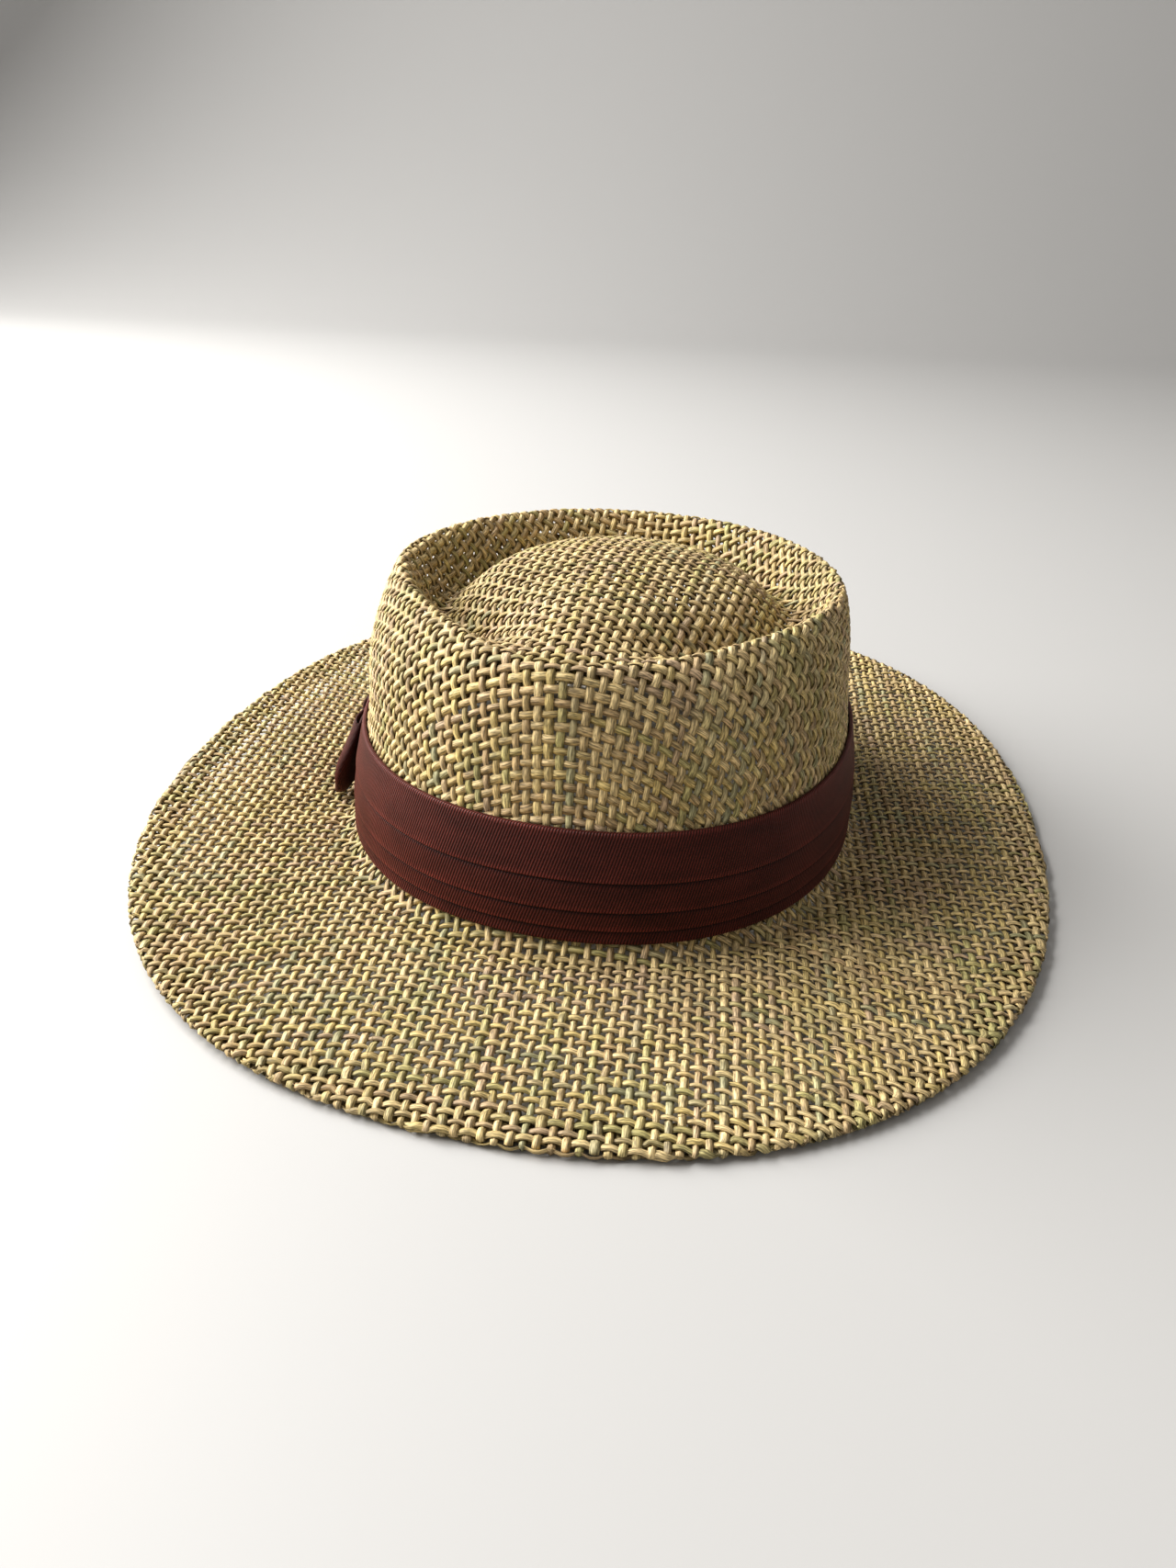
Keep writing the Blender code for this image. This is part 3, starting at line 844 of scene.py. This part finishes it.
def set_inputs(made, values):
    for name, value in values.items():
        made.inputs[name].default_value = value


def straw_material():
    """Dried grass: each strand is a bundle of fibres, darker in streaks, partly their own tone and partly
    painted shade in the grooves between them.
    """
    material, nodes, links, shader = new_material("woven_straw")
    tint = node(nodes, "ShaderNodeAttribute", attribute_name="tint")
    fibres = stretched_noise(nodes, links, "strand", (0.16, 5.5, 1.0), 2.0, 2.0)
    blotches = stretched_noise(nodes, links, "strand", (0.12, 0.4, 1.0), 1.0, 2.0)
    # Streaks along the fibres: partly the grass's own tone, partly painted shade in the grooves between them
    fibre_tone_and_groove_shade = map_range(nodes, links, fibres.outputs["Fac"], (0.38, 0.62), (0.40, 1.20))
    patches = map_range(nodes, links, blotches.outputs["Fac"], (0.3, 0.7), (0.82, 1.18))
    shade = multiply(nodes, links, fibre_tone_and_groove_shade, patches)
    links.new(tint.outputs["Color"], shaded_colour(nodes, links, shader, shade))
    set_inputs(shader, {"Roughness": 0.55, "Specular IOR Level": 0.4})
    add_bump(nodes, links, shader, fibres.outputs["Fac"], 0.9, 0.0003)
    return material


def ribbon_material():
    """Burgundy ribbon with fine upright ribs that lean, painted shade under each fold and painted highlight
    along its edge.
    """
    material, nodes, links, shader = new_material("ribbed_ribbon")
    uv = node(nodes, "ShaderNodeUVMap", uv_map="ribbon")
    mapping = node(nodes, "ShaderNodeMapping", Rotation=(0, 0, math.radians(16)))
    ribs = node(nodes, "ShaderNodeTexWave", Scale=0.40, Distortion=0.5, Detail=1.5)
    ribs.bands_direction = "X"
    ribs.inputs["Detail Scale"].default_value = 3.0
    links.new(uv.outputs["UV"], mapping.inputs["Vector"])
    links.new(mapping.outputs["Vector"], ribs.inputs["Vector"])
    cloudy = stretched_noise(nodes, links, "ribbon", (0.06, 0.14, 1.0), 1.0, 4.0)
    threads = stretched_noise(nodes, links, "ribbon", (0.9, 2.6, 1.0), 1.0, 3.0)
    clouds = map_range(nodes, links, cloudy.outputs["Fac"], (0.3, 0.7), (0.72, 1.28))
    rib_shade = map_range(nodes, links, ribs.outputs["Fac"], (0.1, 0.9), (0.35, 1.6))
    thread_shade = map_range(nodes, links, threads.outputs["Fac"], (0.3, 0.7), (0.75, 1.25))
    # The crease attribute is painted light and shade: at the folds and edges, the bow's middle and the
    # knot's creases
    crease = node(nodes, "ShaderNodeAttribute", attribute_name="crease")
    shade = crease.outputs["Fac"]
    for factor in (clouds, rib_shade, thread_shade):
        shade = multiply(nodes, links, shade, factor)
    shaded_colour(nodes, links, shader, shade).default_value = (0.076, 0.0150, 0.0112)
    set_inputs(shader, {"Roughness": 0.52, "Specular IOR Level": 0.22, "Sheen Weight": 0.16})
    set_inputs(shader, {"Sheen Roughness": 0.35, "Sheen Tint": (0.95, 0.5, 0.42, 1)})
    add_bump(nodes, links, shader, ribs.outputs["Fac"], 0.8, 0.00025)
    return material


def floor_material():
    material, _, _, shader = new_material("pale_floor")
    set_inputs(shader, {"Base Color": (0.54, 0.537, 0.534, 1), "Roughness": 0.55})
    return material


# Ribbon band and bow

def grid_object(name, points, run, up, material, painted_shading):
    """A skin from a grid of points (rows, columns, 3), closed round both. Shading under 1 paints shade on
    it, over 1 paints light.
    """
    uvs = np.stack(np.meshgrid(run, up, indexing="xy"), axis=-1)
    rows, columns = points.shape[:2]
    index = np.arange(rows * columns).reshape(rows, columns)
    right = np.roll(index, -1, axis=1)
    above, above_right = np.roll(index, -1, axis=0), np.roll(right, -1, axis=0)
    quads = np.stack([index, right, above_right, above], axis=-1).reshape(-1, 4)
    mesh = bpy.data.meshes.new(name)
    mesh.from_pydata((points.reshape(-1, 3) * MM + CENTRE).tolist(), [], quads.tolist())
    layer = mesh.uv_layers.new(name="ribbon")
    flat = uvs.reshape(-1, 2)
    width = flat[:, 0].max() + 1.0
    corner = flat[quads]
    seam = (corner[:, :, 0].max(axis=1) - corner[:, :, 0].min(axis=1)) > width / 2
    corner[seam] += np.where(corner[seam][..., :1] < width / 2, [width, 0], [0, 0])
    layer.data.foreach_set("uv", corner.reshape(-1).astype(np.float32))
    # Painted light and shade, kept as the crease attribute
    shades = mesh.attributes.new("crease", "FLOAT", "POINT")
    shades.data.foreach_set("value", painted_shading.astype(np.float32).ravel())
    mesh.polygons.foreach_set("use_smooth", np.ones(len(quads), bool))
    mesh.materials.append(material)
    mesh.update()
    result = add_object(name, mesh)
    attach(result, "root")
    return result


# Pleats of the band from its lower edge up: place as a share of the height, and steps that it stands out
PLEAT_FOLDS = (
    ("third_fold", 0.12, 1.2),
    ("second_fold", 0.30, 1.6),
    ("first_fold", 0.57, 2.0),
)
FOLD_ROWS = (-0.045, -0.022, -0.012, -0.004, 0.006, 0.016, 0.032, 0.055)
PLAIN_ROWS = (
    0.0, 0.015, 0.035, 0.2, 0.24, 0.42, 0.47, 0.66, 0.74, 0.82, 0.9, 0.945, 0.965, 0.98, 0.992, 1.0,
)
BACK_ROWS = (1.0, 0.66, 0.33, 0.0)
PROFILE_START = (-0.02, 0.75)
PROFILE_END = (1.06, 2.0)
FOLD_LEAN = 0.55
FOLD_UNDERCUT = 0.7
FOLD_UNDERCUT_WIDTH = 0.016
# Painted shade under a fold and painted highlight on its edge: strength, and width as a share of the height
FOLD_PAINTED_SHADE = (0.80, 0.020)
FOLD_PAINTED_HIGHLIGHT = (0.55, 0.022)
FOLD_HIGHLIGHT_PLACE = 0.018
FOLD_FADE_TURN = 0.5
FOLD_FAINTEST = 0.25
# Painted highlight along the lower edge, and on the piped upper edge a painted highlight over painted shade
# in the groove below it
LOWER_EDGE_WIDTH = 0.03
LOWER_EDGE_HIGHLIGHT = 1.3
PIPING_WIDTH = 0.022
PIPING_HIGHLIGHT = 1.35
PIPING_GROOVE_PAINTED_SHADE = 0.45
BAND_TURNS = 480
BAND_THINNEST = 0.1
EDGE_ROLL = 0.35
EDGE_ROLL_WIDTH = 0.012
SWAY = 0.35
SWAY_WIDTH = 0.13
BAND_MAP_REACH = 1.08


def ribbon_profile(share):
    """How many pleat steps the band stands proud at a share of its height: a pleat leans out to its fold."""
    folds = [PROFILE_START] + [(row[1], row[2]) for row in PLEAT_FOLDS] + [PROFILE_END]
    proud = np.zeros_like(share)
    for (low, step), (high, _) in zip(folds, folds[1:]):
        part = (share >= low) & (share < high)
        t = (share - low) / (high - low)
        proud = np.where(part, step - FOLD_LEAN * t, proud)
    for _, place, _ in PLEAT_FOLDS:
        under = place - share
        proud = proud - FOLD_UNDERCUT * np.where(under > 0, np.exp(-((under / FOLD_UNDERCUT_WIDTH) ** 2)), 0)
    return proud


def painted_fold_shading(share, azimuths):
    """Painted shade under each fold and a painted highlight on its edge, and both on a piped upper edge.
    Near the bow the folds fade.
    """
    shade = np.ones_like(azimuths)
    from_bow = np.abs(np.mod(azimuths, 2 * math.pi) - math.pi) / FOLD_FADE_TURN
    strong = np.clip(from_bow, FOLD_FAINTEST, 1.0)
    for _, place, _ in PLEAT_FOLDS:
        over = share - place
        if over < 0:
            shade = shade * (1 - FOLD_PAINTED_SHADE[0] * strong * math.exp(-((over / FOLD_PAINTED_SHADE[1]) ** 2)))
        else:
            near = math.exp(-(((over - FOLD_HIGHLIGHT_PLACE) / FOLD_PAINTED_HIGHLIGHT[1]) ** 2))
            shade = shade * (1 + FOLD_PAINTED_HIGHLIGHT[0] * strong * near)
    # Painted highlight on the lower edge; on the piping a painted highlight, and painted shade in its groove
    if 0 < share < LOWER_EDGE_WIDTH:
        shade = shade * LOWER_EDGE_HIGHLIGHT
    if share > 1 - PIPING_WIDTH * 1.5:
        shade = shade * (PIPING_HIGHLIGHT if share > 1 - PIPING_WIDTH else PIPING_GROOVE_PAINTED_SHADE)
    return shade


def ribbon_band(surface, material):
    """The pleated band round the crown's foot, a closed skin at a small gap from the straw."""
    azimuths = np.arange(BAND_TURNS) * 2 * math.pi / BAND_TURNS
    rng = np.random.default_rng(5)
    fine = list(PLAIN_ROWS)
    for _, place, _ in PLEAT_FOLDS:
        fine += [place + step for step in FOLD_ROWS]
    shares = np.array(sorted(fine))
    proud = ribbon_profile(shares)
    floor = WALL + RIBBON_START
    heights = floor + shares * RIBBON_HEIGHT
    wave = [loop_wave(rng, azimuths, SWAY) for _ in PLEAT_FOLDS]
    core = RIBBON_THICKNESS - PLEAT_FOLDS[-1][2] * PLEAT_STEP
    outer = []
    painted_shading = []
    for share, height, step in zip(shares, heights, proud):
        nearest = int(np.argmin([abs(share - row[1]) for row in PLEAT_FOLDS]))
        sway = wave[nearest] * max(0.0, 1 - abs(share - PLEAT_FOLDS[nearest][1]) / SWAY_WIDTH)
        edge = min(share, 1 - share) / EDGE_ROLL_WIDTH
        roll = -EDGE_ROLL * (1 - min(1.0, edge))
        wall = surface.wall_reach(height, azimuths) + RIBBON_GAP
        reach = wall + np.maximum(core + step * PLEAT_STEP + roll, BAND_THINNEST)
        outer.append(polar(reach, azimuths, height + sway))
        painted_shading.append(painted_fold_shading(share, azimuths))
    inner = []
    for share in BACK_ROWS:
        height = floor + share * RIBBON_HEIGHT
        reach = surface.wall_reach(height, azimuths) + RIBBON_GAP
        inner.append(polar(reach, azimuths, np.full(BAND_TURNS, height)))
        painted_shading.append(np.ones(BAND_TURNS))
    points = np.array(outer + inner)
    run = azimuths * (HEAD_HALF_WIDTH * BAND_MAP_REACH)
    up = np.concatenate([heights - floor, [RIBBON_HEIGHT + 2 + 10 * k for k in range(len(BACK_ROWS))]])
    band = grid_object("ribbon", points, run, up, material, np.array(painted_shading))
    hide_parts("ribbon_band")


def loop_wave(rng, azimuths, size):
    """Slow wave that closes round the band."""
    total = np.zeros_like(azimuths)
    for turns in (1, 2, 3, 5, 7):
        total += rng.normal(0, 1 / turns) * np.sin(turns * azimuths + rng.uniform(0, 2 * math.pi))
    return total * size


def on_band(surface, along, out, height):
    """Place from a distance along the band (towards the front), out from its face, and a height."""
    middle_reach = HEAD_HALF_WIDTH + RIBBON_GAP + RIBBON_THICKNESS
    azimuth = math.pi + along / middle_reach
    reach = surface.wall_reach(height, np.array([azimuth]))[0] + RIBBON_GAP + RIBBON_THICKNESS + out
    return reach * math.cos(azimuth), reach * math.sin(azimuth), height


def bow_centre():
    """Height of the bow's centre line."""
    return WALL + RIBBON_START + BOW_CENTRE_RISE


def ease(share, end):
    """Rises smoothly from 0 to 1 as share goes from 0 to end."""
    return math.sin(min(1.0, share / end) * math.pi / 2) ** 2


# The bow is drawn in like a leaf at its ends' top and tip, and its gathered middle has painted shade in
# stripes like creases
LEAF_TOP = 0.14
LEAF_TIP = 0.25
LEAF_TIP_START = 0.4
BOW_POINTS = 120
BOW_LEVELS = 15
BOW_PINCH_SHADE = (0.35, 0.45)
BOW_PINCH_SHADE_STRIPES = 9

# Millimetres on the ribs' map: length round, half height, and how far up the inner face starts
BOW_MAP_RUN = 150
BOW_MAP_RISE = 15
BOW_MAP_INNER = 40
KNOT_MAP_RUN = 60
KNOT_MAP_INNER = 20


def bow_path(level):
    """Plan of the bow's closed loop at a level from -1, its lower edge, to 1: (along, out, share)."""
    seat = RIBBON_GAP + KNOT_WALL + RIBBON_GAP + BOW_THICKNESS / 2
    gathered = 0.5 * KNOT_WIDTH / BOW_REACH + BOW_GATHERED
    flared = ease((1 - level) / 2, BOW_FLARED)
    opening = BOW_TOP_OPENING + (1 - BOW_TOP_OPENING) * flared
    drawn_in = 1 - LEAF_TOP * max(0.0, level) ** 2 - LEAF_TIP * max(0.0, -level - LEAF_TIP_START) ** 2
    rows = []
    for i in range(BOW_POINTS):
        turn = 2 * math.pi * (i + 0.5) / BOW_POINTS
        swing = math.cos(turn)
        side = math.sin(turn)
        share = max(0.0, abs(swing) - gathered) / (1 - gathered)
        room = BOW_THICKNESS + RIBBON_GAP + BOW_SWELL * opening * ease(share, BOW_PARTED)
        lift = seat * (1 - BOW_LANDING * share**2) + room / 2 + BOW_FLARE * flared * share**2
        out = lift + room / 2 * math.copysign(abs(side) ** BOW_END_SQUARENESS, side)
        rows.append((BOW_REACH * swing * (1 - (1 - drawn_in) * share), out, share))
    return rows


def bow_loops(surface, material):
    """A flat ribbon loop gathered in the middle, whose lower corners flare away from the band."""
    levels = np.linspace(-1, 1, BOW_LEVELS)
    skin = []
    painted_shading = []
    for face in (0, 1):
        for level in levels if face == 0 else levels[::-1]:
            rows = bow_path(level)
            ring = []
            shades = []
            for i, (along, out, share) in enumerate(rows):
                ahead = rows[(i + 1) % len(rows)]
                behind = rows[i - 1]
                run = (ahead[0] - behind[0], ahead[1] - behind[1])
                thinned = 0.5 if abs(level) == 1 else 1.0
                shift = BOW_THICKNESS * (0.5 - face) * thinned / math.hypot(*run)
                half = BOW_HALF_MIDDLE + (BOW_HALF_END - BOW_HALF_MIDDLE) * min(1.0, share / BOW_SPREAD)
                height = bow_centre() + level * half
                ring.append(on_band(surface, along - run[1] * shift, out + run[0] * shift, height))
                # Painted shade in stripes over the gathered middle
                pinch = max(0.0, 1 - share / BOW_PINCH_SHADE[0])
                shades.append(1 - BOW_PINCH_SHADE[1] * pinch * (0.5 + 0.5 * math.cos(level * BOW_PINCH_SHADE_STRIPES)))
            skin.append(ring)
            painted_shading.append(shades)
    run = np.linspace(0, BOW_MAP_RUN, BOW_POINTS, endpoint=False)
    up = np.concatenate([levels * BOW_MAP_RISE, BOW_MAP_INNER + levels * BOW_MAP_RISE])
    made = grid_object("bow", np.array(skin), run, up, material, np.array(painted_shading))
    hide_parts("bow_loops")


def squared(value):
    return math.copysign(abs(value) ** KNOT_SQUARENESS, value)


KNOT_COLUMNS = np.array([-0.5, -0.47, -0.4, -0.28, -0.14, 0.0, 0.14, 0.28, 0.4, 0.47, 0.5])
KNOT_POINTS = 72
KNOT_CREASE = 0.125
KNOT_CREASE_TURNS = 22
# Painted light and shade on the knot's creases: overall level, and strength of the stripes
KNOT_PAINTED_SHADING = (0.85, 0.3)


def bow_knot(surface, material):
    """A strap that wraps the gathered middle of the bow, creased along its length, with painted light and
    shade on the creases.
    """
    hole_depth = 2 * BOW_THICKNESS + 3 * RIBBON_GAP + KNOT_SLACK
    hole_half_height = BOW_HALF_MIDDLE + 3 * RIBBON_GAP
    sizes = (
        (hole_depth / 2 + KNOT_WALL, hole_half_height + KNOT_WALL),
        (hole_depth / 2, hole_half_height),
    )
    middle = RIBBON_GAP + KNOT_WALL + hole_depth / 2
    rings = []
    painted_shading = []
    for face, (deep, tall) in enumerate(sizes):
        for column in KNOT_COLUMNS if face == 0 else KNOT_COLUMNS[::-1]:
            outer_edge = face == 0 and abs(column) == 0.5
            soft = -KNOT_EDGE_ROUNDING * KNOT_WALL if outer_edge else 0.0
            crease = math.cos(column * KNOT_CREASE_TURNS) if face == 0 else 0.0
            ring = []
            for i in range(KNOT_POINTS):
                turn = 2 * math.pi * i / KNOT_POINTS
                out = middle + (deep + soft + KNOT_CREASE * crease) * squared(math.cos(turn))
                up = (tall + soft) * squared(math.sin(turn))
                ring.append(on_band(surface, column * KNOT_WIDTH, out, bow_centre() + up))
            rings.append(ring)
            # Painted light and shade in stripes along the creases
            painted_shading.append([KNOT_PAINTED_SHADING[0] + KNOT_PAINTED_SHADING[1] * crease] * KNOT_POINTS)
    run = np.linspace(0, KNOT_MAP_RUN, KNOT_POINTS, endpoint=False)
    up = np.concatenate([KNOT_COLUMNS * KNOT_WIDTH, KNOT_MAP_INNER + KNOT_COLUMNS * KNOT_WIDTH])
    knot = grid_object("knot", np.array(rings), run, up, material, np.array(painted_shading))
    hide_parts("bow_knot")


# Floor, light and camera

# The photo's camera, fitted to its lines and the hat's outlines. Focal length in pixels of the frame
FOCAL_PIXELS = 1266.2
FRAME_WIDTH = 1280
CAMERA_PLACE = (63.3, -367.7, 199.4)
CAMERA_TURN = math.radians(10.9)
CAMERA_PITCH = math.radians(27.62)
CAMERA_ROLL = math.radians(2.75)


def add_camera():
    data = bpy.data.cameras.new("photo_camera")
    data.sensor_fit = "HORIZONTAL"
    data.sensor_width = 36.0
    data.lens = FOCAL_PIXELS / FRAME_WIDTH * data.sensor_width
    data.clip_start = 0.01
    camera = add_object("photo_camera", data)
    level = Vector((-math.sin(CAMERA_TURN), math.cos(CAMERA_TURN), 0))
    right = Vector((math.cos(CAMERA_TURN), math.sin(CAMERA_TURN), 0))
    up = Vector((0, 0, 1))
    forward = level * math.cos(CAMERA_PITCH) - up * math.sin(CAMERA_PITCH)
    over = level * math.sin(CAMERA_PITCH) + up * math.cos(CAMERA_PITCH)
    image_right = right * math.cos(CAMERA_ROLL) + over * math.sin(CAMERA_ROLL)
    image_up = over * math.cos(CAMERA_ROLL) - right * math.sin(CAMERA_ROLL)
    matrix = Matrix((image_right, image_up, -forward)).transposed().to_4x4()
    matrix.translation = Vector(np.array(CAMERA_PLACE) * MM + CENTRE)
    camera.matrix_world = matrix
    bpy.context.scene.camera = camera


def add_area(name, place, target, size, power, colour):
    data = bpy.data.lights.new(name, "AREA")
    data.shape = "RECTANGLE"
    data.size, data.size_y = size
    data.energy = power
    data.color = colour
    light = add_object(name, data)
    light.location = place
    light.rotation_euler = (Vector(target) - Vector(place)).to_track_quat("-Z", "Y").to_euler()


ROOM_COLOUR = (1.0, 0.97, 0.93, 1)
ROOM_STRENGTH = 0.33
WINDOW_PLACE = (-1.15, 0.10, 0.86)
WINDOW_TARGET = (0, 0, 0.04)
WINDOW_SIZE = (1.5, 1.3)
WINDOW_POWER = 50
WINDOW_COLOUR = (1.0, 0.985, 0.955)


def add_light():
    """One wide soft window on the left in a dim room."""
    world = bpy.data.worlds.new("soft_room")
    world.use_nodes = True
    background = world.node_tree.nodes["Background"]
    background.inputs["Color"].default_value = ROOM_COLOUR
    background.inputs["Strength"].default_value = ROOM_STRENGTH
    bpy.context.scene.world = world
    add_area("window", WINDOW_PLACE, WINDOW_TARGET, WINDOW_SIZE, WINDOW_POWER, WINDOW_COLOUR)
    view = bpy.context.scene.view_settings
    view.view_transform = "Standard"
    view.look = "Medium High Contrast"


# The floor runs back and turns up into a pale wall, square to the camera's view. Metres
FLOOR_FRONT = -2.5
FLOOR_BACK = 1.3
FLOOR_HALF_WIDTH = 3.5
SWEEP_RADIUS = 0.7
WALL_TOP = 2.6
SWEEP_STEPS = 16


def add_floor(material):
    profile = [(FLOOR_FRONT, 0.0)]
    for i in range(SWEEP_STEPS + 1):
        turn = math.radians(90) * i / SWEEP_STEPS
        profile.append((FLOOR_BACK + SWEEP_RADIUS * math.sin(turn), SWEEP_RADIUS * (1 - math.cos(turn))))
    profile.append((FLOOR_BACK + SWEEP_RADIUS, WALL_TOP))
    points = [(side * FLOOR_HALF_WIDTH, along, up) for along, up in profile for side in (-1, 1)]
    faces = [(2 * i, 2 * i + 1, 2 * i + 3, 2 * i + 2) for i in range(len(profile) - 1)]
    mesh = bpy.data.meshes.new("floor")
    mesh.from_pydata(points, [], faces)
    mesh.polygons.foreach_set("use_smooth", [True] * len(faces))
    mesh.materials.append(material)
    floor = add_object("floor", mesh)
    floor.rotation_euler.z = CAMERA_TURN


def main():
    add_camera()
    add_light()
    add_floor(floor_material())
    surface = StrawSurface()
    straw = straw_material()
    weave(surface, straw)
    loose_fibres(surface, straw)
    ribbon = ribbon_material()
    ribbon_band(surface, ribbon)
    bow_loops(surface, ribbon)
    bow_knot(surface, ribbon)


main()
